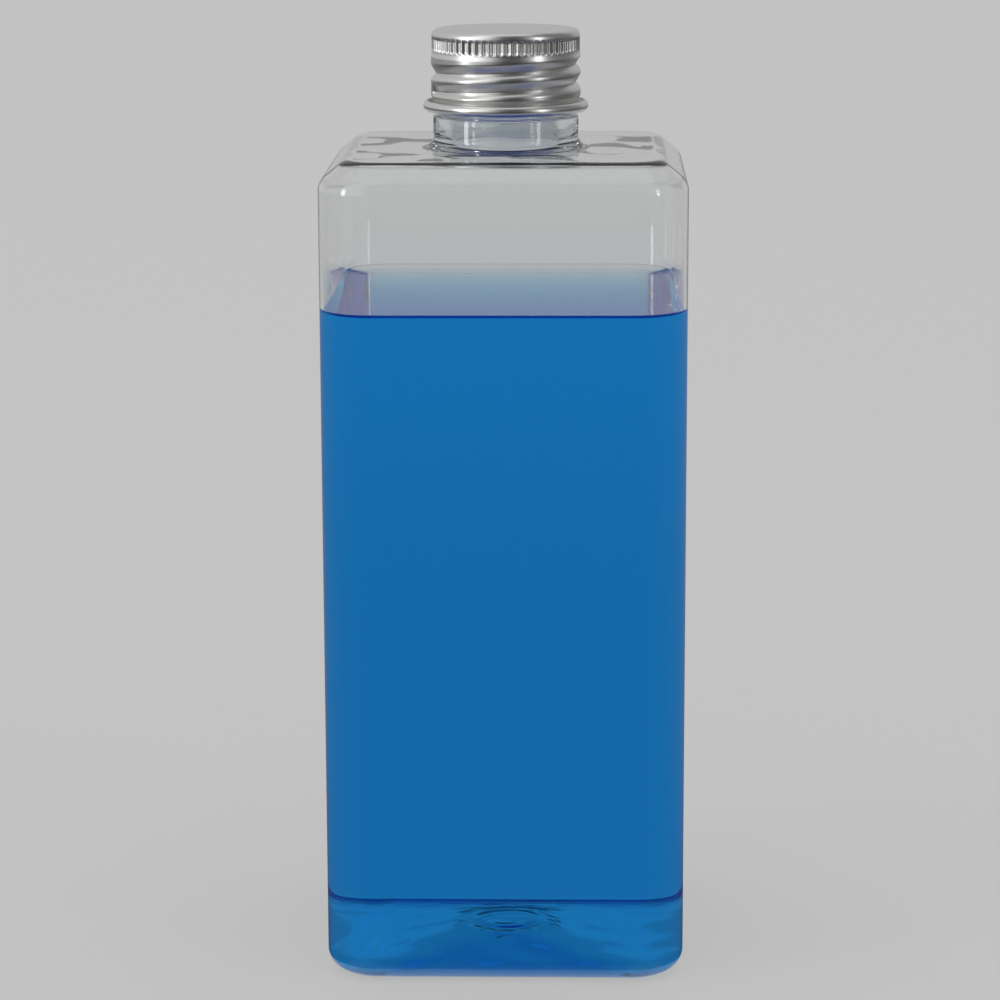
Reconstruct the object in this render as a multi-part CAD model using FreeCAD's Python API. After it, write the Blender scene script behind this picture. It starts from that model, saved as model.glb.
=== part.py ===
import FreeCAD, Part
import math
import os

os.makedirs("parts", exist_ok=True)

Vector = FreeCAD.Vector
ORIGIN = Vector(0, 0, 0)
UP = Vector(0, 0, 1)
QUARTER_TURN = 90
FULL_TURN = 360

# Square body, blow-moulded, standing on its base at z = 0 with its walls square to X and Y
body_side = 63.0
corner_radius = 9.5
shoulder_height = 143.6
body_wall = 0.6
shoulder_wall = 0.9
base_wall = 0.9

# Soft edges: the base edge is a plain round, the shoulder edge a bevel with rounded ends
base_edge_radius = 3.6
shoulder_bevel_in = 4.4
shoulder_bevel_down = 3.6
shoulder_bevel_fillet = 2.5

# Push-up in the base: a shallow four-sided pyramid with a round gate dimple on its flat top
pushup_side = 49.0
pushup_corner_radius = 6.0
pushup_top_side = 16.0
pushup_top_corner_radius = 7.5
pushup_height = 3.3
gate_dimple_radius = 5.5
gate_dimple_height = 0.5

# Liquid fill, measured down from the flat of the shoulder
headspace = 25.5

# Neck: a thick plain collar that stays in view, and above it the threaded finish
bore_radius = 9.3
neck_wall = 1.8
collar_wall = 3.43
collar_height = 5.6
neck_root_fillet = 1.0
collar_edge_fillet = 0.4
bore_flare_radius = 2.4
rim_fillet = 0.4

# Thread shared by neck and cap; the cap's rolled groove runs half a pitch below the neck's ridge
thread_pitch = 3.18
thread_start_angle = 200.0
ridge_turns = 1.25
groove_turns = 1.58
ridge_depth = 1.2
ridge_section_radius = 0.8
groove_rise = 3.54
groove_section_radius = 1.12
groove_depth = 0.9
spiral_end_relief = 0.02

# Cap drawn from thin aluminium sheet, and the foam liner pressed under its top
cap_height = 14.3
sheet = 0.25
liner_thickness = 1.0
top_edge_fillet = 1.1
inner_top_fillet = 0.6
knurl_drop = 1.45
knurl_height = 2.55
knurl_inset = 0.14
knurl_taper = 0.3
flute_count = 62
flute_section_radius = 0.45
flute_depth = 0.3
skirt_step_height = 2.2
skirt_step_rise = 0.5
skirt_fillet = 0.2
curl_section_radius = 0.98
curl_open_from_angle = 110.0

# Clearances between pieces that move past each other
thread_to_skirt_clearance = 0.54
thread_to_curl_clearance = 0.2
collar_to_cap_gap = 0.66
liner_edge_clearance = 0.1

# How far shapes that are joined into one solid run into each other
body_overlap = 0.3

# Radii and levels that follow
half_side = body_side / 2
neck_radius = bore_radius + neck_wall
collar_radius = bore_radius + collar_wall
thread_radius = neck_radius + ridge_depth
ridge_spine_radius = thread_radius - ridge_section_radius
skirt_inner_radius = thread_radius + thread_to_skirt_clearance
skirt_radius = skirt_inner_radius + sheet
groove_spine_radius = skirt_radius + groove_section_radius - groove_depth
curl_inner_radius = thread_radius + thread_to_curl_clearance
knurl_radius = skirt_radius - knurl_inset
knurl_inner_radius = knurl_radius - flute_depth - sheet
liner_radius = knurl_inner_radius - inner_top_fillet - liner_edge_clearance
ceiling_level = shoulder_height - shoulder_wall
liquid_level = shoulder_height - headspace
collar_level = shoulder_height + collar_height
cap_bottom_level = collar_level + collar_to_cap_gap
cap_top_level = cap_bottom_level + cap_height
liner_top_level = cap_top_level - sheet
rim_level = liner_top_level - liner_thickness
groove_start_level = cap_bottom_level + groove_rise
ridge_start_level = groove_start_level + thread_pitch / 2


def tangent_arc(before, corner, after, radius):
    """Arc of the given radius that rounds a corner of an outline, in the XZ plane."""
    towards_before = (before - corner).normalize()
    towards_after = (after - corner).normalize()
    half_angle = towards_before.getAngle(towards_after) / 2
    reach = radius / math.tan(half_angle)
    bisector = (towards_before + towards_after).normalize()
    centre = corner + bisector * (radius / math.sin(half_angle))
    start = corner + towards_before * reach
    end = corner + towards_after * reach
    return start, centre - bisector * radius, end


def outline_face(points):
    """Face in the XZ plane from (radius, level, fillet) points, each corner rounded by its fillet."""
    corners = [Vector(x, 0, z) for x, z, _ in points]
    fillets = [fillet for _, _, fillet in points]
    edges = []
    first_start = None
    last_end = None
    for index, corner in enumerate(corners):
        start, end = corner, corner
        if fillets[index]:
            following = corners[(index + 1) % len(corners)]
            start, middle, end = tangent_arc(corners[index - 1], corner, following, fillets[index])
        if last_end is not None:
            edges.append(Part.makeLine(last_end, start))
        if fillets[index]:
            edges.append(Part.Arc(start, middle, end).toShape())
        if first_start is None:
            first_start = start
        last_end = end
    edges.append(Part.makeLine(last_end, first_start))
    return Part.Face(Part.Wire(edges))


def turned(points):
    """Solid of revolution about the Z axis from (radius, level, fillet) points."""
    return outline_face(points).revolve(ORIGIN, UP, FULL_TURN)


def square_solid(half, radius, bottom, top):
    """Upright square solid with round vertical corners and the bottle's soft top and bottom edges."""
    section = outline_face([
        (0, bottom, 0),
        (radius, bottom, base_edge_radius),
        (radius, top - shoulder_bevel_down, shoulder_bevel_fillet),
        (radius - shoulder_bevel_in, top, shoulder_bevel_fillet),
        (0, top, 0),
    ])
    reach = half - radius
    corner = section.revolve(ORIGIN, UP, QUARTER_TURN)
    corner.translate(Vector(reach, reach, 0))
    side = section.extrude(Vector(0, 2 * reach, 0))
    side.translate(Vector(reach, -reach, 0))
    core = Part.makeBox(2 * reach, 2 * reach, top - bottom, Vector(-reach, -reach, bottom))
    pieces = []
    for quarter in range(4):
        for piece in (corner, side):
            turned_piece = piece.copy()
            turned_piece.rotate(ORIGIN, UP, QUARTER_TURN * quarter)
            pieces.append(turned_piece)
    return core.multiFuse(pieces).removeSplitter()


def rounded_square_wire(half, radius, level):
    """Closed outline of a square with round corners at one level."""
    reach = half - radius
    edges = []
    for quarter in range(4):
        arc = Part.makeCircle(radius, Vector(reach, reach, level), UP, 0, QUARTER_TURN)
        line = Part.makeLine(Vector(reach, half, level), Vector(-reach, half, level))
        for edge in (arc, line):
            edge.rotate(ORIGIN, UP, QUARTER_TURN * quarter)
            edges.append(edge)
    return Part.Wire(edges)


def pushup_solid(offset):
    """Pyramid and dimple of the base, grown upwards and outwards by the offset."""
    foot = rounded_square_wire(pushup_side / 2 + offset, pushup_corner_radius + offset, offset)
    head = rounded_square_wire(
        pushup_top_side / 2 + offset, pushup_top_corner_radius + offset, pushup_height + offset)
    pyramid = Part.makeLoft([foot, head], True, True)
    plinth = Part.Face(foot).extrude(UP * -(offset + body_overlap))
    dimple_level = pushup_height + gate_dimple_height + offset
    dimple = Part.makeCylinder(gate_dimple_radius + offset, dimple_level)
    return pyramid.fuse(plinth).fuse(dimple)


def spiral_tube(section_radius, spine_radius, start_level, turns):
    """Right-hand spiral tube of the thread, and a ball a hair thinner to round off each end."""
    spine = Part.makeHelix(thread_pitch, thread_pitch * turns, spine_radius)
    spine.rotate(ORIGIN, UP, thread_start_angle)
    spine.translate(UP * start_level)
    edge = spine.Edges[0]
    start = edge.valueAt(edge.FirstParameter)
    end = edge.valueAt(edge.LastParameter)
    circle = Part.makeCircle(section_radius, start, edge.tangentAt(edge.FirstParameter))
    tube = Part.Wire(spine.Edges).makePipeShell([Part.Wire(circle)], True, True)
    ball_radius = section_radius - spiral_end_relief
    return [tube] + [Part.makeSphere(ball_radius, place) for place in (start, end)]


def make_cavity():
    """Space inside the walls, up to the ceiling under the shoulder."""
    inside = square_solid(
        half_side - body_wall, corner_radius - body_wall, base_wall, ceiling_level)
    return inside.cut(pushup_solid(base_wall))


def make_bottle(cavity):
    """Body, shoulder, collar and threaded neck, moulded in one piece."""
    body = square_solid(half_side, corner_radius, 0, shoulder_height)
    body = body.cut(pushup_solid(0))
    sunk_level = shoulder_height - body_overlap
    root_radius = collar_radius + neck_root_fillet + body_overlap
    neck = turned([
        (0, sunk_level, 0),
        (root_radius, sunk_level, 0),
        (root_radius, shoulder_height, 0),
        (collar_radius, shoulder_height, neck_root_fillet),
        (collar_radius, collar_level, collar_edge_fillet),
        (neck_radius, collar_level, collar_edge_fillet),
        (neck_radius, rim_level, rim_fillet),
        (0, rim_level, 0),
    ])
    flare_radius = bore_radius + bore_flare_radius + body_overlap
    bore = turned([
        (0, liquid_level, 0),
        (flare_radius, liquid_level, 0),
        (flare_radius, ceiling_level, 0),
        (bore_radius, ceiling_level, bore_flare_radius),
        (bore_radius, rim_level + rim_fillet, 0),
        (0, rim_level + rim_fillet, 0),
    ])
    ridge = spiral_tube(
        ridge_section_radius, ridge_spine_radius, ridge_start_level, ridge_turns)
    for piece in ridge:
        neck = neck.fuse(piece)
    return body.fuse(neck).cut(cavity).cut(bore)


def make_liquid(cavity):
    """Fill of the cavity up to the liquid level, touching the walls all round."""
    room = Part.makeBox(body_side, body_side, liquid_level, Vector(-half_side, -half_side, 0))
    return cavity.common(room)


def make_cap_curl():
    """Rim curled outwards at the foot of the skirt, open towards the skirt."""
    centre_x = curl_inner_radius + curl_section_radius
    centre_z = cap_bottom_level + curl_section_radius
    centre = Vector(centre_x, 0, centre_z)
    inner_radius = curl_section_radius - sheet

    def at(radius, degrees):
        angle = math.radians(degrees)
        return centre + Vector(radius * math.cos(angle), 0, radius * math.sin(angle))

    middle_angle = (curl_open_from_angle - 180) / 2
    outer = Part.Arc(
        at(curl_section_radius, 180),
        at(curl_section_radius, middle_angle),
        at(curl_section_radius, curl_open_from_angle))
    inner = Part.Arc(
        at(inner_radius, curl_open_from_angle),
        at(inner_radius, middle_angle),
        at(inner_radius, 180))
    lip = Part.makeLine(
        at(curl_section_radius, curl_open_from_angle), at(inner_radius, curl_open_from_angle))
    root = Part.makeLine(at(inner_radius, 180), at(curl_section_radius, 180))
    section = Part.Face(Part.Wire([outer.toShape(), lip, inner.toShape(), root]))
    return section.revolve(ORIGIN, UP, FULL_TURN)


def flutes():
    """Upright round-bottomed cuts of the knurled band below the cap's top."""
    cut_level = cap_top_level - knurl_drop - knurl_height
    centre_radius = knurl_radius + flute_section_radius - flute_depth
    cutters = []
    for index in range(flute_count):
        angle = math.radians(index * FULL_TURN / flute_count)
        foot = Vector(centre_radius * math.cos(angle), centre_radius * math.sin(angle), cut_level)
        cutters.append(Part.makeCylinder(flute_section_radius, knurl_height, foot))
    return Part.makeCompound(cutters)


def make_screw_cap():
    """Thin shell: fluted top band, skirt with the rolled thread groove, and curled rim."""
    curl_level = cap_bottom_level + curl_section_radius
    step_level = cap_bottom_level + skirt_step_height
    step_top_level = step_level + skirt_step_rise
    knurl_level = cap_top_level - knurl_drop - knurl_height
    outer = turned([
        (0, curl_level, 0),
        (curl_inner_radius + sheet, curl_level, 0),
        (curl_inner_radius + sheet, step_level, skirt_fillet),
        (skirt_radius, step_top_level, skirt_fillet),
        (skirt_radius, knurl_level - knurl_taper, skirt_fillet),
        (knurl_radius, knurl_level, 0),
        (knurl_radius, cap_top_level, top_edge_fillet),
        (0, cap_top_level, 0),
    ])
    void = turned([
        (0, cap_bottom_level, 0),
        (curl_inner_radius, cap_bottom_level, 0),
        (curl_inner_radius, step_level, skirt_fillet),
        (skirt_inner_radius, step_top_level, skirt_fillet),
        (skirt_inner_radius, knurl_level - sheet - knurl_taper, 0),
        (knurl_inner_radius, knurl_level - sheet, 0),
        (knurl_inner_radius, liner_top_level, inner_top_fillet),
        (0, liner_top_level, 0),
    ])
    groove = spiral_tube(
        groove_section_radius, groove_spine_radius, groove_start_level, groove_turns)
    rib = spiral_tube(
        groove_section_radius + sheet, groove_spine_radius, groove_start_level, groove_turns)
    for piece in groove:
        outer = outer.cut(piece)
    for piece in rib:
        void = void.cut(piece)
    return outer.cut(flutes()).cut(void).fuse(make_cap_curl())


def make_cap_liner():
    """Foam disc that seals the mouth, lying on the rim under the cap's top."""
    return Part.makeCylinder(liner_radius, liner_thickness, Vector(0, 0, rim_level))


cavity_solid = make_cavity()
nodes = {
    "bottle": make_bottle(cavity_solid),
    "liquid": make_liquid(cavity_solid),
    "screw_cap": make_screw_cap(),
    "cap_liner": make_cap_liner(),
}
for name, shape in nodes.items():
    shape.exportStep(f"parts/{name}.step")
    print(name, "solids", len(shape.Solids), "valid", shape.isValid(), "volume", round(shape.Volume, 1))
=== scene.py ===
import math
from functools import partial

import bpy
from mathutils import Matrix, Vector, noise


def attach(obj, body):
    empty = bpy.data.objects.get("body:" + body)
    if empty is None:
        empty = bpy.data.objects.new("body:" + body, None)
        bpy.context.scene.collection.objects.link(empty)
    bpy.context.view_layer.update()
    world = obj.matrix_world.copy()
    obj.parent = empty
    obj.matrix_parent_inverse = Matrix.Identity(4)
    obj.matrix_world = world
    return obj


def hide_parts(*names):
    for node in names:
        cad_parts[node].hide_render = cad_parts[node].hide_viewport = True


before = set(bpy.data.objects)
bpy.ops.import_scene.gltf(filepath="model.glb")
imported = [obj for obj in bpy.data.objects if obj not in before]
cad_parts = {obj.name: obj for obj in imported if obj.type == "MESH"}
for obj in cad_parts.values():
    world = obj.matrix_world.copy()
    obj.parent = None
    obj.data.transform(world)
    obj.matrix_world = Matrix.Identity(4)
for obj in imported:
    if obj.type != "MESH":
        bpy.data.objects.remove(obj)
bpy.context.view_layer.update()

MM = 0.001

# Square body, in millimetres; the shoulder's edges are a little softer than in the construction
body_half = 31.5
corner_radius = 9.5
shoulder_level = 143.6
body_wall = 0.6
shoulder_wall = 0.9
base_wall = 0.9
base_edge_radius = 3.6
standing_flat = 0.25
bevel_in = 4.4
bevel_down = 3.6
bevel_fillet = 3.2
bevel_flat = 1.5
corner_loss_limit = 5.4

# What the inner bevel loses per millimetre of wall, so that it runs beside the outer one
bevel_in_loss = 0.87
bevel_down_loss = 0.7
bevel_fillet_loss = 1.17

# Push-up of the base, with the soft-edged gate dimple in its middle
pushup_half = 24.5
pushup_corner_radius = 6.0
pushup_top_half = 8.0
pushup_top_corner_radius = 7.5
pushup_height = 3.3
gate_dimple_radius = 5.5
gate_dimple_height = 0.5
gate_dimple_edge = 1.3
innermost_share = 0.04

# Water line, and how far the liquid climbs the wall and sinks into it
liquid_level = 117.45
meniscus_height = 0.9
meniscus_reach = 0.9
liquid_overlap = 0.03
contact_level = liquid_level + meniscus_height

# Rings of the liquid's edge: below the contact line, and inwards from the wall
wall_end_drop = 2
edge_drops = (1, 0.08, 0)
climb_depths = (0.04, 0.12, 0.22, 0.34, 0.5, 0.7, 0.95, 1.3, 1.8, 2.5, 3.4, 4.5, 6.0, 8.0)
surface_shares = (0.75, 0.5, 0.25, 0.05)
surface_corner_share = 0.1

# Neck
bore_radius = 9.3
neck_radius = 11.1
collar_radius = 12.73
collar_level = 149.2
rim_level = 162.91
neck_root_fillet = 2.0
neck_root_reach = 2.4
neck_edge_fillet = 0.4
plain_neck_height = 1.5
bore_flare_radius = 2.4
bore_flare_reach = 1
bore_foot_gap = 0.2
shoulder_flat_width = 6

# Levels that part the bottle's three finishes
wetted_margin = 0.001
thick_margin = 0.2

# Thread: the neck's ridge, and the cap's rolled groove, a V with eased shoulders
thread_pitch = 3.18
thread_start_angle = math.radians(200)
ridge_start_level = 154.99
ridge_turns = 1.25
ridge_height = 1.2
ridge_half_width = 0.85
ridge_fade_angle = 0.25
groove_start_level = 153.4
groove_turns = 1.58
groove_depth = 0.9
groove_upper_width = 1.65
groove_lower_width = 1.1
groove_upper_ease = 1.15
groove_lower_ease = 1.5
groove_fade_angle = 0.12

# Cap
sheet = 0.25
cap_top_level = 164.16
top_edge_fillet = 1.1
top_ring_share = 0.6
knurl_radius = 12.95
knurl_top_level = 162.95
knurl_foot_level = 160.16
knurl_step_height = 0.15
knurl_step_fillet = 1.2
skirt_radius = 13.09
skirt_top_level = 159.86
skirt_edge_drop = 0.45
skirt_plain_drop = 0.62
step_top_level = 152.56
step_level = 152.06
step_margin = 0.1
step_fillet = 0.2
foot_radius = 12.75
foot_margin = 0.3
curl_radius = 0.98
curl_centre_radius = 13.48
curl_centre_level = 150.84
curl_open_angle = 110
knurl_inner_radius = 12.4
inner_step_height = 0.2
inner_top_fillet = 0.6
inner_ring_radius = 6
flute_count = 62
flute_half_width = 0.46
flute_depth = 0.38
flute_roundness = 0.75
flute_clearance = 0.12

# Liner, with the dent of the mouth's rim
liner_radius = 11.7
liner_dent = 0.1
liner_edge_fillet = 0.12

# Unevenness of the blown base, shoulder and bore: how high and wide its waves are, where they fade
# at the standing ring, and how far up they change
base_wave_height = 0.26
base_wave_width = 8.0
base_wave_fade_height = 0.8
shoulder_wave_height = 0.07
shoulder_wave_width = 8.0
inner_shoulder_wave_share = -1.6
bore_wave_height = 0.3
bore_wave_width = 4.0
wave_rise = 40

# Mesh fineness
CORNER_STEPS = 24
SIDE_STEPS = 24
DIMPLE_STEPS = 18
PUSHUP_STEPS = 14
BEVEL_STEPS = 12
WALL_STEPS = 6
TALL_WALL = 40
FLAT_OUTSIDE_STEPS = 7
FLAT_INSIDE_STEPS = 11
THREAD_STEPS = 88
BORE_STEPS = 30
CAP_STEPS = flute_count * 8
TOP_EDGE_STEPS = 10
KNURL_STEPS = 22
SKIRT_STEPS = 56
INNER_SKIRT_STEPS = 24
CURL_STEPS = 20
NECK_FILLET_STEPS = 8
SKIRT_FILLET_STEPS = 4
FOOT_FILLET_STEPS = 3
INNER_FILLET_STEPS = 5
LINER_FILLET_STEPS = 3
POLE_RING_RADIUS = 0.5


def square_ring(half, radius, level):
    """Points round a square with round corners, counter-clockwise from the +X side."""
    reach = half - radius
    points = []
    for quarter in range(4):
        turn = Matrix.Rotation(quarter * math.pi / 2, 3, "Z")
        for step in range(SIDE_STEPS):
            across = reach * (2 * step / SIDE_STEPS - 1)
            points.append(turn @ Vector((half, across, level)))
        for step in range(CORNER_STEPS):
            angle = math.pi / 2 * step / CORNER_STEPS
            corner = Vector((reach + radius * math.cos(angle), reach + radius * math.sin(angle), level))
            points.append(turn @ corner)
    return points


ROUND_ANGLES = [
    math.atan2(p.y, p.x)
    for p in square_ring(body_half - bevel_in, corner_radius - bevel_in, 0)]


def round_ring(radius, level):
    """Points round a circle, at the angles of the square rings."""
    return [Vector((radius * math.cos(a), radius * math.sin(a), level)) for a in ROUND_ANGLES]


def even_ring(radius, level):
    """Points evenly spaced round a circle, for the cap and its liner."""
    angles = [2 * math.pi / CAP_STEPS * step for step in range(CAP_STEPS)]
    return [Vector((radius * math.cos(a), radius * math.sin(a), level)) for a in angles]


def rounded(points, steps):
    """Outline with its corners rounded: (x, z, fillet) points become plain (x, z) points."""
    outline = []
    for index, (x, z, fillet) in enumerate(points):
        if not fillet or index in (0, len(points) - 1):
            outline.append((x, z))
            continue
        corner = Vector((x, z))
        before = (Vector(points[index - 1][:2]) - corner).normalized()
        after = (Vector(points[index + 1][:2]) - corner).normalized()
        half_angle = before.angle(after) / 2
        reach = fillet / math.tan(half_angle)
        centre = corner + (before + after).normalized() * fillet / math.sin(half_angle)
        start = corner + before * reach - centre
        end = corner + after * reach - centre
        swing = start.angle_signed(end)
        for step in range(steps + 1):
            turned = Matrix.Rotation(-swing * step / steps, 2) @ start
            outline.append(tuple(centre + turned))
    return outline


def turned_rings(ring, points, steps):
    """Rings of a round form, each drawn by the given function, from its outline with rounded corners."""
    return [ring(radius, level) for radius, level in rounded(points, steps)]


def between(low, high, steps):
    """Evenly spaced values from low to high, both ends left out."""
    return [low + (high - low) * (step + 1) / (steps + 1) for step in range(steps)]


def within(value):
    """The value, held between 0 and 1."""
    return min(1, max(0, value))


def lofted(name, rings, first, last, slots=None):
    """Closed mesh through rings of points, with a pole at each end, in metres and facing out.
    The slots function gives the material slot of the faces that start at each ring."""
    count = len(rings[0])
    vertices = [first] + [point for ring in rings for point in ring] + [last]
    faces = [(0, 1 + (k + 1) % count, 1 + k) for k in range(count)]
    owners = [0] * count
    for index in range(len(rings) - 1):
        low = 1 + index * count
        high = low + count
        for k in range(count):
            after = (k + 1) % count
            faces.append((low + k, low + after, high + after, high + k))
            owners.append(index)
    top = 1 + (len(rings) - 1) * count
    faces += [(top + k, top + (k + 1) % count, len(vertices) - 1) for k in range(count)]
    owners += [len(rings) - 1] * count
    mesh = bpy.data.meshes.new(name)
    mesh.from_pydata([tuple(v * MM) for v in vertices], [], faces)
    mesh.update()
    volume = sum(p.center.dot(p.normal) * p.area for p in mesh.polygons)
    if volume < 0:
        mesh.flip_normals()
    mesh.polygons.foreach_set("use_smooth", [True] * len(mesh.polygons))
    if slots:
        mesh.polygons.foreach_set("material_index", [slots(owner) for owner in owners])
    mesh.validate()
    return mesh


def placed(name, mesh):
    """Object at the origin."""
    piece = bpy.data.objects.new(name, mesh)
    bpy.context.scene.collection.objects.link(piece)
    return piece


def shown(name, mesh, materials):
    """Object at the origin with its materials."""
    for material in materials:
        mesh.materials.append(material)
    return placed(name, mesh)


def waved(ring, height, width, fade=1.0):
    """Ring with its points a little up or down, as a blown surface is."""
    places = [Vector((p.x / width, p.y / width, p.z / wave_rise)) for p in ring]
    return [p + Vector((0, 0, height * fade * noise.noise(place))) for p, place in zip(ring, places)]


def blended(first, last, steps):
    """Rings that pass evenly from one ring to another, both left out."""
    return [[a.lerp(b, share) for a, b in zip(first, last)] for share in between(0, 1, steps)]


def base_rings(grown):
    """Rings of the push-up, from its middle out to the standing ring, grown upwards and outwards."""
    rings = []
    for share in [innermost_share] + between(innermost_share, 1, DIMPLE_STEPS) + [1]:
        radius = (gate_dimple_radius + gate_dimple_edge) * share
        slope = within((radius - gate_dimple_radius + gate_dimple_edge) / (2 * gate_dimple_edge))
        sunk = gate_dimple_height * (1 - slope * slope * (3 - 2 * slope))
        rings.append(round_ring(radius + grown * share, pushup_height + sunk + grown))
    corner_change = pushup_corner_radius - pushup_top_corner_radius
    for share in [0] + between(0, 1, PUSHUP_STEPS) + [1]:
        half = pushup_top_half + (pushup_half - pushup_top_half) * share + grown
        radius = pushup_top_corner_radius + corner_change * share + grown
        level = pushup_height * (1 - share) + grown
        rings.append(square_ring(half, radius, level))
    return [
        waved(
            ring, base_wave_height, base_wave_width,
            within((ring[0].z - grown) / base_wave_fade_height))
        for ring in rings]


def body_rings(inset, bottom, top, marks=()):
    """Rings of the square body from its standing ring up to the flat of its shoulder, with extra ones
    at the marked levels."""
    down = bevel_down - bevel_down_loss * inset
    across = bevel_in - bevel_in_loss * inset
    fillet = bevel_fillet - bevel_fillet_loss * inset
    profile = rounded([
        (base_edge_radius + standing_flat, bottom, 0),
        (0, bottom, base_edge_radius),
        (0, top - down, fillet),
        (across, top, fillet),
        (across + bevel_flat, top, 0),
    ], BEVEL_STEPS)
    rings = []
    last_level = None
    for depth, level in profile:
        half = body_half - inset - depth
        if last_level is not None and level - last_level > TALL_WALL:
            for middle in sorted(between(last_level, level, WALL_STEPS) + list(marks)):
                rings.append(square_ring(half, corner_radius - inset - depth, middle))
        rings.append(square_ring(half, corner_radius - inset - min(depth, corner_loss_limit), level))
        last_level = level
    return rings


def ridge(angle, level):
    """Height of the thread's ridge on the neck at one place."""
    along = (angle - thread_start_angle) % (2 * math.pi)
    height = 0
    for turn in range(3):
        travelled = along + 2 * math.pi * turn
        left = 2 * math.pi * ridge_turns - travelled
        if left < 0:
            break
        off = abs(level - ridge_start_level - thread_pitch * travelled / (2 * math.pi)) / ridge_half_width
        fade = min(1, travelled / ridge_fade_angle, left / ridge_fade_angle)
        height = max(height, ridge_height * fade * max(0, 1 - off ** 3))
    return height


def groove(angle, level):
    """Depth of the rolled groove in the cap's skirt at one place."""
    along = (angle - thread_start_angle) % (2 * math.pi)
    depth = 0
    for turn in range(-1, 3):
        travelled = along + 2 * math.pi * turn
        overrun = max(-travelled, travelled - 2 * math.pi * groove_turns, 0)
        fade = max(0, 1 - overrun / groove_fade_angle) ** 0.5
        rise = level - groove_start_level - thread_pitch * travelled / (2 * math.pi)
        width = groove_upper_width if rise > 0 else groove_lower_width
        ease = groove_upper_ease if rise > 0 else groove_lower_ease
        depth = max(depth, groove_depth * fade * max(0, 1 - abs(rise) / width) ** ease)
    return depth


def neck_rings():
    """Rings of the outside of the neck, from the shoulder's flat up to where the rim begins."""
    rings = turned_rings(round_ring, [
        (collar_radius + shoulder_flat_width, shoulder_level, 0),
        (collar_radius + neck_root_reach, shoulder_level, 0),
        (collar_radius, shoulder_level, neck_root_fillet),
        (collar_radius, collar_level, neck_edge_fillet),
        (neck_radius, collar_level, neck_edge_fillet),
        (neck_radius, collar_level + plain_neck_height, 0),
    ], NECK_FILLET_STEPS)
    for level in between(collar_level + plain_neck_height, rim_level - plain_neck_height, THREAD_STEPS):
        rings.append([
            Vector((math.cos(a), math.sin(a), 0)) * (neck_radius + ridge(a, level)) + Vector((0, 0, level))
            for a in ROUND_ANGLES])
    return rings


def mouth_rings(under_shoulder):
    """Rings over the rim and down the uneven bore to its flare under the shoulder."""
    bore_top = rim_level - plain_neck_height
    bore_foot = under_shoulder + bore_flare_radius + bore_foot_gap
    rings = turned_rings(round_ring, [
        (neck_radius, bore_top, 0),
        (neck_radius, rim_level, neck_edge_fillet),
        (bore_radius, rim_level, neck_edge_fillet),
        (bore_radius, bore_top, 0),
    ], NECK_FILLET_STEPS)
    for share in between(0, 1, BORE_STEPS):
        fade = bore_wave_height * math.sin(math.pi * share) / bore_radius
        rings.append([
            Vector((p.x, p.y, 0)) * (1 + fade * noise.noise(p / bore_wave_width)) + Vector((0, 0, p.z))
            for p in round_ring(bore_radius, bore_top + (bore_foot - bore_top) * share)])
    return rings + turned_rings(round_ring, [
        (bore_radius, bore_foot, 0),
        (bore_radius, under_shoulder, bore_flare_radius),
        (bore_radius + bore_flare_radius + bore_flare_reach, under_shoulder, 0),
    ], NECK_FILLET_STEPS)


def make_bottle_mesh():
    """The whole bottle as one skin: out over the base, up the walls, over the rim and down inside."""
    rings = base_rings(0) + body_rings(0, 0, shoulder_level)
    flat_outside = round_ring(collar_radius + shoulder_flat_width, shoulder_level)
    rings += [
        waved(ring, shoulder_wave_height, shoulder_wave_width)
        for ring in blended(rings[-1], flat_outside, FLAT_OUTSIDE_STEPS)]
    under_shoulder = shoulder_level - shoulder_wall
    rings += neck_rings() + mouth_rings(under_shoulder)
    inner = base_rings(base_wall) + body_rings(body_wall, base_wall, under_shoulder, [contact_level])
    flat_inside = round_ring(bore_radius + bore_flare_radius + bore_flare_reach, under_shoulder)
    inner += [
        waved(ring, inner_shoulder_wave_share * shoulder_wave_height, shoulder_wave_width)
        for ring in blended(inner[-1], flat_inside, FLAT_INSIDE_STEPS)]
    inner.reverse()
    outer_count = len(rings)
    rings += inner

    def slots(ring):
        """0 for the dry body, 1 for the wetted inner wall, 2 for the thicker neck."""
        if ring >= outer_count:
            return int(rings[ring][0].z < contact_level + wetted_margin)
        return 2 if rings[ring][0].z > shoulder_level + thick_margin else 0

    return lofted(
        "bottle", rings,
        Vector((0, 0, pushup_height + gate_dimple_height)),
        Vector((0, 0, pushup_height + gate_dimple_height + base_wall)),
        slots)


def make_liquid_mesh():
    """The fill: the inside of the walls, a hair sunk into them, up to the water line."""
    grown = liquid_overlap
    rings = [[point - Vector((0, 0, grown)) for point in ring] for ring in base_rings(base_wall)]
    rings += [
        ring for ring in body_rings(body_wall - grown, base_wall - grown, shoulder_level)
        if ring[0].z < contact_level - wall_end_drop]
    half = body_half - body_wall + grown
    radius = corner_radius - body_wall + grown
    rings += [square_ring(half, radius, contact_level - drop) for drop in edge_drops]
    for depth in climb_depths:
        level = liquid_level + meniscus_height * math.exp(-depth / meniscus_reach)
        rings.append(square_ring(half - depth, radius - depth, level))
    for share in surface_shares:
        middle_half = (half - climb_depths[-1]) * share
        rings.append(square_ring(middle_half, radius * surface_corner_share * share, liquid_level))
    return lofted(
        "liquid", rings,
        Vector((0, 0, pushup_height + gate_dimple_height + base_wall - grown)),
        Vector((0, 0, liquid_level)))


def rolled_rings(outer_radius, levels):
    """Rings of the cap's skirt with the groove rolled in."""
    rings = []
    for level in levels:
        rings.append([
            Vector((p.x, p.y, 0)) * (1 - groove(math.atan2(p.y, p.x), level) / outer_radius)
            + Vector((0, 0, level))
            for p in even_ring(outer_radius, level)])
    return rings


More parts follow.
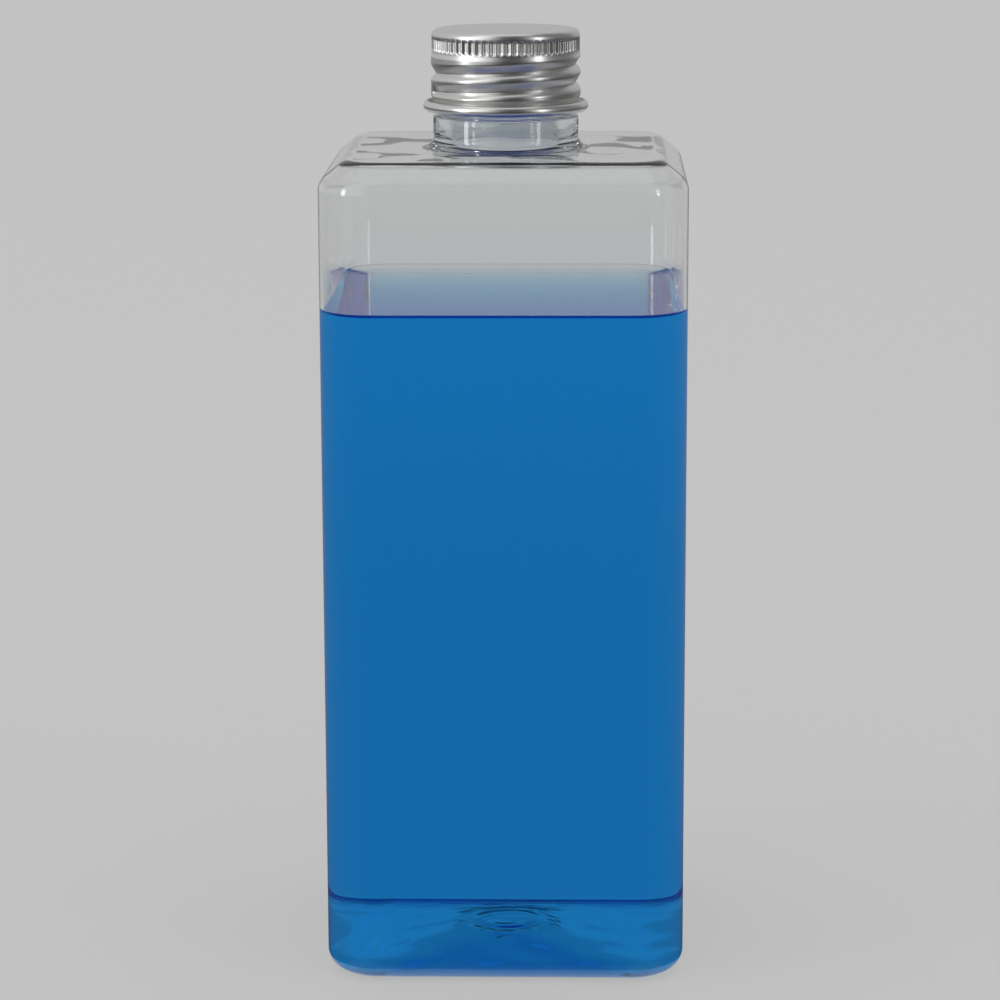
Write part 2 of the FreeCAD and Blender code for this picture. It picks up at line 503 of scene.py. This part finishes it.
def curl_rings():
    """Rings of the curled rim: round its inner face, and back round its outer one."""
    swept = 180 + 360 - curl_open_angle
    rings = []
    for radius, start, end in ((curl_radius - sheet, 0, 1), (curl_radius, 1, 0)):
        for step in range(CURL_STEPS + 1):
            share = start + (end - start) * step / CURL_STEPS
            angle = math.radians(180 + (swept - 180) * share)
            rings.append(even_ring(
                curl_centre_radius + radius * math.cos(angle),
                curl_centre_level + radius * math.sin(angle)))
    return rings


def make_cap_mesh():
    """Smooth cap shell with its rolled groove and curled rim; the flutes come after."""
    rings = turned_rings(even_ring, [
        (POLE_RING_RADIUS, cap_top_level, 0),
        (knurl_radius, cap_top_level, top_edge_fillet),
        (knurl_radius, knurl_top_level, 0),
    ], TOP_EDGE_STEPS)
    rings.insert(1, even_ring(knurl_radius * top_ring_share, cap_top_level))
    knurl_levels = between(knurl_top_level, knurl_foot_level, KNURL_STEPS)
    rings += [even_ring(knurl_radius, level) for level in knurl_levels]
    skirt_plain_level = skirt_top_level - skirt_plain_drop
    rings += turned_rings(even_ring, [
        (knurl_radius, knurl_foot_level, 0),
        (knurl_radius, knurl_foot_level - knurl_step_height, knurl_step_fillet),
        (skirt_radius, skirt_top_level - skirt_edge_drop, knurl_step_fillet),
        (skirt_radius, skirt_plain_level, 0),
    ], SKIRT_FILLET_STEPS)
    skirt_levels = between(skirt_plain_level, step_top_level + step_margin, SKIRT_STEPS)
    rings += rolled_rings(skirt_radius, skirt_levels)
    rings += turned_rings(even_ring, [
        (skirt_radius, step_top_level + step_margin, 0),
        (skirt_radius, step_top_level, step_fillet),
        (foot_radius, step_level, step_fillet),
        (foot_radius, curl_centre_level + foot_margin, 0),
    ], FOOT_FILLET_STEPS)
    rings += curl_rings()
    inner_skirt = skirt_radius - sheet
    rings += [even_ring(foot_radius - sheet, step_level), even_ring(inner_skirt, step_top_level)]
    rings += rolled_rings(inner_skirt, between(step_top_level, skirt_top_level, INNER_SKIRT_STEPS))
    inside_top = cap_top_level - sheet
    rings += turned_rings(even_ring, [
        (inner_skirt, skirt_top_level, 0),
        (knurl_inner_radius, skirt_top_level + inner_step_height, 0),
        (knurl_inner_radius, inside_top, inner_top_fillet),
        (inner_ring_radius, inside_top, 0),
        (POLE_RING_RADIUS, inside_top, 0),
    ], INNER_FILLET_STEPS)
    return lofted("screw_cap", rings, Vector((0, 0, cap_top_level)), Vector((0, 0, inside_top)))


def make_liner_mesh():
    """Foam disc, pressed in a little where the mouth's rim bears on it."""
    bottom = rim_level
    top = cap_top_level - sheet
    rings = turned_rings(even_ring, [
        (POLE_RING_RADIUS, bottom, 0),
        (bore_radius, bottom, liner_dent),
        (bore_radius + liner_dent, bottom + liner_dent, liner_dent),
        (neck_radius - liner_dent, bottom + liner_dent, liner_dent),
        (neck_radius, bottom, liner_dent),
        (liner_radius, bottom, liner_edge_fillet),
        (liner_radius, top, liner_edge_fillet),
        (POLE_RING_RADIUS, top, 0),
    ], LINER_FILLET_STEPS)
    return lofted("cap_liner", rings, Vector((0, 0, bottom)), Vector((0, 0, top)))


# Finishes of the bottle, its fill, its cap and its liner
plastic_ior = 1.575
liquid_ior = 1.34
dry_tint = (0.925, 0.93, 0.93)
thick_tint = (0.74, 0.78, 0.80)
no_tint = (1, 1, 1)
liquid_colour = (0.31, 0.808, 0.9685)
liquid_density = 100
aluminium_colour = (0.89, 0.89, 0.88)
aluminium_roughness = (0.25, 0.34)
aluminium_grain = 420
aluminium_grain_detail = 4
foam_colour = (0.86, 0.86, 0.84)
foam_roughness = 0.6
foam_grain = 3500
foam_bump = 0.25
foam_bump_height = 0.0001


def shader_material(name):
    """New material, its node tree and its Principled shader."""
    material = bpy.data.materials.new(name)
    material.use_nodes = True
    tree = material.node_tree
    return material, tree, tree.nodes["Principled BSDF"]


def maths_node(tree, operation, *values):
    """Output of a Math node; each value is a plain number or another node's output."""
    node = tree.nodes.new("ShaderNodeMath")
    node.operation = operation
    for socket, value in zip(node.inputs, values):
        if isinstance(value, (int, float)):
            socket.default_value = value
        else:
            tree.links.new(value, socket)
    return node.outputs[0]


def clear_material(name, ior, tint, reflection=1.0):
    """Clear plastic or liquid: full transmission, constant on the shader's own sockets."""
    material, tree, shader = shader_material(name)
    shader.inputs["Base Color"].default_value = (*tint, 1)
    shader.inputs["Roughness"].default_value = 0.0
    shader.inputs["Transmission Weight"].default_value = 1.0
    shader.inputs["IOR"].default_value = ior
    shader.inputs["Specular Tint"].default_value = (reflection, reflection, reflection, 1)
    return material


def absorbing(material, colour, density):
    """Fills a clear material with a colour that deepens with the way through it."""
    tree = material.node_tree
    volume = tree.nodes.new("ShaderNodeVolumeAbsorption")
    volume.inputs["Color"].default_value = (*colour, 1)
    volume.inputs["Density"].default_value = density
    tree.links.new(volume.outputs["Volume"], tree.nodes["Material Output"].inputs["Volume"])


def aluminium_material():
    """Satin drawn aluminium, with small cloudy changes of gloss."""
    material, tree, shader = shader_material("satin_aluminium")
    shader.inputs["Metallic"].default_value = 1.0
    shader.inputs["Base Color"].default_value = (*aluminium_colour, 1)
    place = tree.nodes.new("ShaderNodeTexCoord")
    cloud = tree.nodes.new("ShaderNodeTexNoise")
    cloud.inputs["Scale"].default_value = aluminium_grain
    cloud.inputs["Detail"].default_value = aluminium_grain_detail
    gloss = tree.nodes.new("ShaderNodeMapRange")
    gloss.inputs["To Min"].default_value, gloss.inputs["To Max"].default_value = aluminium_roughness
    tree.links.new(place.outputs["Object"], cloud.inputs["Vector"])
    tree.links.new(cloud.outputs["Fac"], gloss.inputs["Value"])
    tree.links.new(gloss.outputs["Result"], shader.inputs["Roughness"])
    return material


def liner_material():
    """White closed-cell foam, its cells as a fine bump."""
    material, tree, shader = shader_material("liner_foam")
    shader.inputs["Base Color"].default_value = (*foam_colour, 1)
    shader.inputs["Roughness"].default_value = foam_roughness
    place = tree.nodes.new("ShaderNodeTexCoord")
    cells = tree.nodes.new("ShaderNodeTexVoronoi")
    cells.inputs["Scale"].default_value = foam_grain
    bump = tree.nodes.new("ShaderNodeBump")
    bump.inputs["Strength"].default_value = foam_bump
    bump.inputs["Distance"].default_value = foam_bump_height
    tree.links.new(place.outputs["Object"], cells.inputs["Vector"])
    tree.links.new(cells.outputs["Distance"], bump.inputs["Height"])
    tree.links.new(bump.outputs["Normal"], shader.inputs["Normal"])
    return material


def flute_tree(sizes, material):
    """Node tree that presses evenly spaced, round-ended flutes into a band round the Z axis."""
    tree = bpy.data.node_groups.new("flute_band", "GeometryNodeTree")
    interface = tree.interface
    interface.new_socket("Geometry", in_out="INPUT", socket_type="NodeSocketGeometry")
    for name in sizes:
        interface.new_socket(name, in_out="INPUT", socket_type="NodeSocketFloat")
    interface.new_socket("Geometry", in_out="OUTPUT", socket_type="NodeSocketGeometry")
    nodes, links = tree.nodes, tree.links
    maths = partial(maths_node, tree)
    inputs = nodes.new("NodeGroupInput")
    outputs = nodes.new("NodeGroupOutput")
    position = nodes.new("GeometryNodeInputPosition")
    split = nodes.new("ShaderNodeSeparateXYZ")
    links.new(position.outputs[0], split.inputs[0])
    x, y, z = split.outputs
    angle = maths("ARCTAN2", y, x)
    radius = maths("SQRT", maths("ADD", maths("MULTIPLY", x, x), maths("MULTIPLY", y, y)))
    turns = maths("MULTIPLY", maths("DIVIDE", angle, 2 * math.pi), inputs.outputs["Count"])
    phase = maths("SUBTRACT", turns, maths("ROUND", turns))
    spacing = maths("DIVIDE", maths("MULTIPLY", radius, 2 * math.pi), inputs.outputs["Count"])
    across = maths("DIVIDE", maths("MULTIPLY", phase, spacing), inputs.outputs["Half width"])
    off_middle = maths("ABSOLUTE", maths("SUBTRACT", z, inputs.outputs["Middle level"]))
    straight = maths("SUBTRACT", inputs.outputs["Half length"], inputs.outputs["Half width"])
    past_straight = maths("MAXIMUM", maths("SUBTRACT", off_middle, straight), 0.0)
    along = maths("DIVIDE", past_straight, inputs.outputs["Half width"])
    reach = maths("ADD", maths("MULTIPLY", across, across), maths("MULTIPLY", along, along))
    hollow = maths("POWER", maths("MAXIMUM", maths("SUBTRACT", 1.0, reach), 0.0), flute_roundness)
    band_edge = maths("SUBTRACT", inputs.outputs["Band radius"], flute_clearance * MM)
    on_band = maths("GREATER_THAN", radius, band_edge)
    depth = maths("MULTIPLY", maths("MULTIPLY", hollow, inputs.outputs["Depth"]), on_band)
    inward = maths("DIVIDE", maths("MULTIPLY", depth, -1.0), radius)
    offset = nodes.new("ShaderNodeCombineXYZ")
    links.new(maths("MULTIPLY", x, inward), offset.inputs[0])
    links.new(maths("MULTIPLY", y, inward), offset.inputs[1])
    press = nodes.new("GeometryNodeSetPosition")
    links.new(inputs.outputs["Geometry"], press.inputs["Geometry"])
    links.new(offset.outputs[0], press.inputs["Offset"])
    real = nodes.new("GeometryNodeRealizeInstances")
    links.new(press.outputs["Geometry"], real.inputs["Geometry"])
    finish = nodes.new("GeometryNodeSetMaterial")
    finish.inputs["Material"].default_value = material
    links.new(real.outputs["Geometry"], finish.inputs["Geometry"])
    links.new(finish.outputs["Geometry"], outputs.inputs["Geometry"])
    return tree


def fluted(name, mesh, material):
    """The cap with its flutes pressed in, as a plain mesh."""
    blank = shown(name + "_blank", mesh, [material])
    sizes = {
        "Count": float(flute_count), "Half width": flute_half_width * MM, "Depth": flute_depth * MM,
        "Middle level": (knurl_top_level + knurl_foot_level) / 2 * MM,
        "Half length": ((knurl_top_level - knurl_foot_level) / 2 - flute_clearance) * MM,
        "Band radius": knurl_radius * MM}
    modifier = blank.modifiers.new("flutes", "NODES")
    modifier.node_group = flute_tree(sizes, material)
    for socket in modifier.node_group.interface.items_tree:
        if socket.name in sizes:
            modifier[socket.identifier] = sizes[socket.name]
    graph = bpy.context.evaluated_depsgraph_get()
    pressed = bpy.data.meshes.new_from_object(blank.evaluated_get(graph))
    pressed.name = name
    bpy.data.objects.remove(blank)
    return placed(name, pressed)


# The wall hardly reflects where it is wetted, so only the dry plastic does
dry_plastic = clear_material("clear_plastic", plastic_ior, dry_tint)
neck_plastic = clear_material("clear_plastic_thick", plastic_ior, thick_tint)
wet_plastic = clear_material("clear_plastic_wetted", plastic_ior, no_tint, 0.0)
liquid_material = clear_material("blue_liquid", liquid_ior, no_tint, 0.0)
absorbing(liquid_material, liquid_colour, liquid_density)

bottle = shown("bottle_clear", make_bottle_mesh(), [dry_plastic, wet_plastic, neck_plastic])
liquid = shown("liquid_fill", make_liquid_mesh(), [liquid_material])
cap = fluted("screw_cap_shell", make_cap_mesh(), aluminium_material())
liner = shown("cap_liner_foam", make_liner_mesh(), [liner_material()])

for piece, node, body, slot in (
        (bottle, "bottle", "bottle_body", "clear_plastic"),
        (liquid, "liquid", "bottle_body", "blue_liquid"),
        (cap, "screw_cap", "cap_body", "cap_aluminium"),
        (liner, "cap_liner", "liner_body", "liner_foam")):
    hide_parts(node)
    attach(piece, body)


# Studio, in metres
backdrop_light = 0.6
floor_tone = 0.66
floor_evenness = 0.7
floor_half = 8
floor_level = -0.0002
studio_radius = 2.4
studio_low = -0.3
studio_high = 5.0
card_top = 0.95
ground_level = 0.0004
ground_gap = 1.0 * MM
near_distance = 0.25
far_distance = 0.75
# Below 1, the sweep seen through clear pieces is dimmer near the bottle: painted shade round its foot
sweep_painted_shade_share = 0.9
lamp_aim = Vector((0, 0, 0.1))
lamp_elevation = math.radians(14)
lamp_distance = 1.5
lamp_height = 0.8


def floor_material():
    """Pale matt floor; what the camera, metal and glass see of it is evened out."""
    material, tree, shader = shader_material("pale_floor")
    tree.nodes.remove(shader)
    matt = tree.nodes.new("ShaderNodeBsdfDiffuse")
    matt.inputs["Color"].default_value = (floor_tone, floor_tone, floor_tone, 1)
    even = tree.nodes.new("ShaderNodeEmission")
    even.inputs["Color"].default_value = (backdrop_light, backdrop_light, backdrop_light, 1)
    paths = tree.nodes.new("ShaderNodeLightPath").outputs
    seen = maths_node(tree, "MAXIMUM", paths["Is Camera Ray"], paths["Is Glossy Ray"])
    seen = maths_node(tree, "MAXIMUM", seen, paths["Is Transmission Ray"])
    mix = tree.nodes.new("ShaderNodeMixShader")
    tree.links.new(maths_node(tree, "MULTIPLY", seen, floor_evenness), mix.inputs[0])
    tree.links.new(matt.outputs[0], mix.inputs[1])
    tree.links.new(even.outputs[0], mix.inputs[2])
    tree.links.new(mix.outputs[0], tree.nodes["Material Output"].inputs["Surface"])
    return material


def surround_material(name, tones, near_share=1.0):
    """Glow of the studio from (azimuth in degrees from the front, level) pairs; the share is its
    strength near the bottle, and a share below 1 is painted shade round the bottle."""
    material, tree, shader = shader_material(name)
    tree.nodes.remove(shader)
    place = tree.nodes.new("ShaderNodeTexCoord")
    split = tree.nodes.new("ShaderNodeSeparateXYZ")
    tree.links.new(place.outputs["Object"], split.inputs[0])
    behind = maths_node(tree, "MULTIPLY", split.outputs["Y"], -1.0)
    azimuth = maths_node(tree, "ARCTAN2", split.outputs["X"], behind)
    share = maths_node(tree, "MULTIPLY_ADD", azimuth, 1 / (2 * math.pi), 0.5)
    ramp = tree.nodes.new("ShaderNodeValToRGB")
    stops = ramp.color_ramp.elements
    while len(stops) > 1:
        stops.remove(stops[-1])
    for index, (angle, level) in enumerate(tones):
        stop = stops[0] if index == 0 else stops.new((angle + 180) / 360)
        stop.position = (angle + 180) / 360
        stop.color = (level, level, level, 1)
    tree.links.new(share, ramp.inputs[0])
    glow = tree.nodes.new("ShaderNodeEmission")
    tree.links.new(ramp.outputs["Color"], glow.inputs["Color"])
    away = tree.nodes.new("ShaderNodeVectorMath")
    away.operation = "LENGTH"
    tree.links.new(place.outputs["Object"], away.inputs[0])
    strength = tree.nodes.new("ShaderNodeMapRange")
    strength.inputs["From Min"].default_value = near_distance
    strength.inputs["From Max"].default_value = far_distance
    strength.inputs["To Min"].default_value = near_share
    tree.links.new(away.outputs["Value"], strength.inputs["Value"])
    tree.links.new(strength.outputs["Result"], glow.inputs["Strength"])
    tree.links.new(glow.outputs[0], tree.nodes["Material Output"].inputs["Surface"])
    material.cycles.emission_sampling = "NONE"
    return material


def stage_mesh(name, corners, faces, material):
    """Stage piece in metres."""
    mesh = bpy.data.meshes.new(name)
    mesh.from_pydata(corners, [], faces)
    return shown(name, mesh, [material])


def surround(name, low, high, tones, near_share=1.0):
    """Glowing stage piece between two rings of equally many points, seen only by reflection and
    through clear pieces."""
    count = len(low)
    faces = [(k, (k + 1) % count, count + (k + 1) % count, count + k) for k in range(count)]
    material = surround_material(name + "_glow", tones, near_share)
    piece = stage_mesh(name, [tuple(p) for p in low + high], faces, material)
    piece.visible_camera = False
    piece.visible_diffuse = False
    piece.visible_volume_scatter = False
    piece.visible_shadow = False
    return piece


def lifted(ring, rise):
    """Ring moved up."""
    return [p + Vector((0, 0, rise)) for p in ring]


floor_corners = [
    (x * floor_half, y * floor_half, floor_level)
    for x, y in ((-1, -1), (1, -1), (1, 1), (-1, 1))]
floor = stage_mesh("floor", floor_corners, [(0, 1, 2, 3)], floor_material())
foot = [p * MM for p in square_ring(
    body_half + ground_gap / MM, corner_radius + ground_gap / MM, ground_level / MM)]
edge = [Vector((p.x, p.y, 0)).normalized() * studio_radius for p in foot]
glossy_wall = surround("studio_wall", lifted(edge, studio_low), lifted(edge, studio_high), (
    (-180, 0.46), (-130, 0.48), (-100, 0.52), (-72, 0.45), (-47, 1.2), (-20, 0.50), (-8, 0.07),
    (25, 0.04), (38, 0.20), (52, 0.45), (66, 0.20), (80, 0.14), (120, 0.17), (140, 0.40),
    (180, 0.46)))
glossy_ground = surround("studio_ground", foot, lifted(edge, ground_level), (
    (-180, 0.30), (-130, 0.10), (-90, 0.05), (-20, 0.03), (30, 0.03), (90, 0.05), (130, 0.10),
    (180, 0.30)))
clear_wall = surround("studio_card", lifted(edge, studio_low), lifted(edge, card_top), (
    (-180, 0.60), (-140, 0.60), (-115, 0.44), (0, 0.40), (115, 0.44), (140, 0.60), (180, 0.60)))
clear_top = surround("studio_upper", lifted(edge, card_top), lifted(edge, studio_high), (
    (-180, 0.48), (-120, 0.42), (0, 0.34), (120, 0.42), (180, 0.48)))
# Dimmer near the bottle: a painted shade round its foot, seen through the clear pieces
clear_ground = surround("studio_sweep", foot, lifted(edge, ground_level), (
    (-180, 0.60), (-130, 0.60), (-110, 0.42), (0, 0.38), (110, 0.42), (130, 0.60), (180, 0.60)),
    sweep_painted_shade_share)

# The first two are seen by reflection alone, the others through clear pieces alone
for piece in (glossy_wall, glossy_ground):
    piece.visible_transmission = False
for piece in (clear_wall, clear_top, clear_ground):
    piece.visible_glossy = False

world = bpy.data.worlds.new("studio")
bpy.context.scene.world = world
world.use_nodes = True
backdrop = world.node_tree.nodes["Background"]
backdrop.inputs["Color"].default_value = (backdrop_light, backdrop_light, backdrop_light, 1)


def soft_lamp(name, azimuth, width, power):
    """Area lamp aimed at the bottle; azimuth 0 is the front, -Y, and turns towards +X."""
    light = bpy.data.lights.new(name, "AREA")
    light.shape = "RECTANGLE"
    light.size = width
    light.size_y = lamp_height
    light.energy = power
    lamp = bpy.data.objects.new(name, light)
    bpy.context.scene.collection.objects.link(lamp)
    a, e = math.radians(azimuth), lamp_elevation
    way = Vector((math.sin(a) * math.cos(e), -math.cos(a) * math.cos(e), math.sin(e)))
    lamp.location = lamp_aim + way * lamp_distance
    lamp.rotation_euler = way.to_track_quat("Z", "Y").to_euler()
    lamp.visible_camera = False


soft_lamp("key_left", azimuth=-64, width=0.2, power=3.2)
soft_lamp("fill_right", azimuth=54, width=0.16, power=1.5)

# Camera at the photograph's place: 595 mm off, 207 mm up, turned a little off square
camera_turn = math.radians(-1.329)
camera_distance = 0.59507
camera_height = 0.20712
camera_yaw = math.radians(-0.121)
camera_pitch = math.radians(12.062)
camera_roll = math.radians(-0.189)
camera_lens = 121.9
camera_sensor = 36

heading = camera_turn + camera_yaw
forward = Vector((
    math.sin(heading) * math.cos(camera_pitch),
    math.cos(heading) * math.cos(camera_pitch),
    -math.sin(camera_pitch)))
level_right = Vector((math.cos(heading), -math.sin(heading), 0))
level_up = level_right.cross(forward)
right = level_right * math.cos(camera_roll) + level_up * math.sin(camera_roll)
up = level_up * math.cos(camera_roll) - level_right * math.sin(camera_roll)
lens = bpy.data.cameras.new("camera")
lens.lens = camera_lens
lens.sensor_width = camera_sensor
camera = bpy.data.objects.new("camera", lens)
bpy.context.scene.collection.objects.link(camera)
camera.matrix_world = Matrix.Translation((
    -camera_distance * math.sin(camera_turn),
    -camera_distance * math.cos(camera_turn),
    camera_height)) @ Matrix((right, up, -forward)).transposed().to_4x4()
bpy.context.scene.camera = camera

# Light passes many faces of the clear wall, the liquid and the neck
scene = bpy.context.scene
scene.view_settings.view_transform = "Standard"
scene.cycles.max_bounces = 32
scene.cycles.transmission_bounces = 32
scene.cycles.glossy_bounces = 12
scene.cycles.transparent_max_bounces = 16
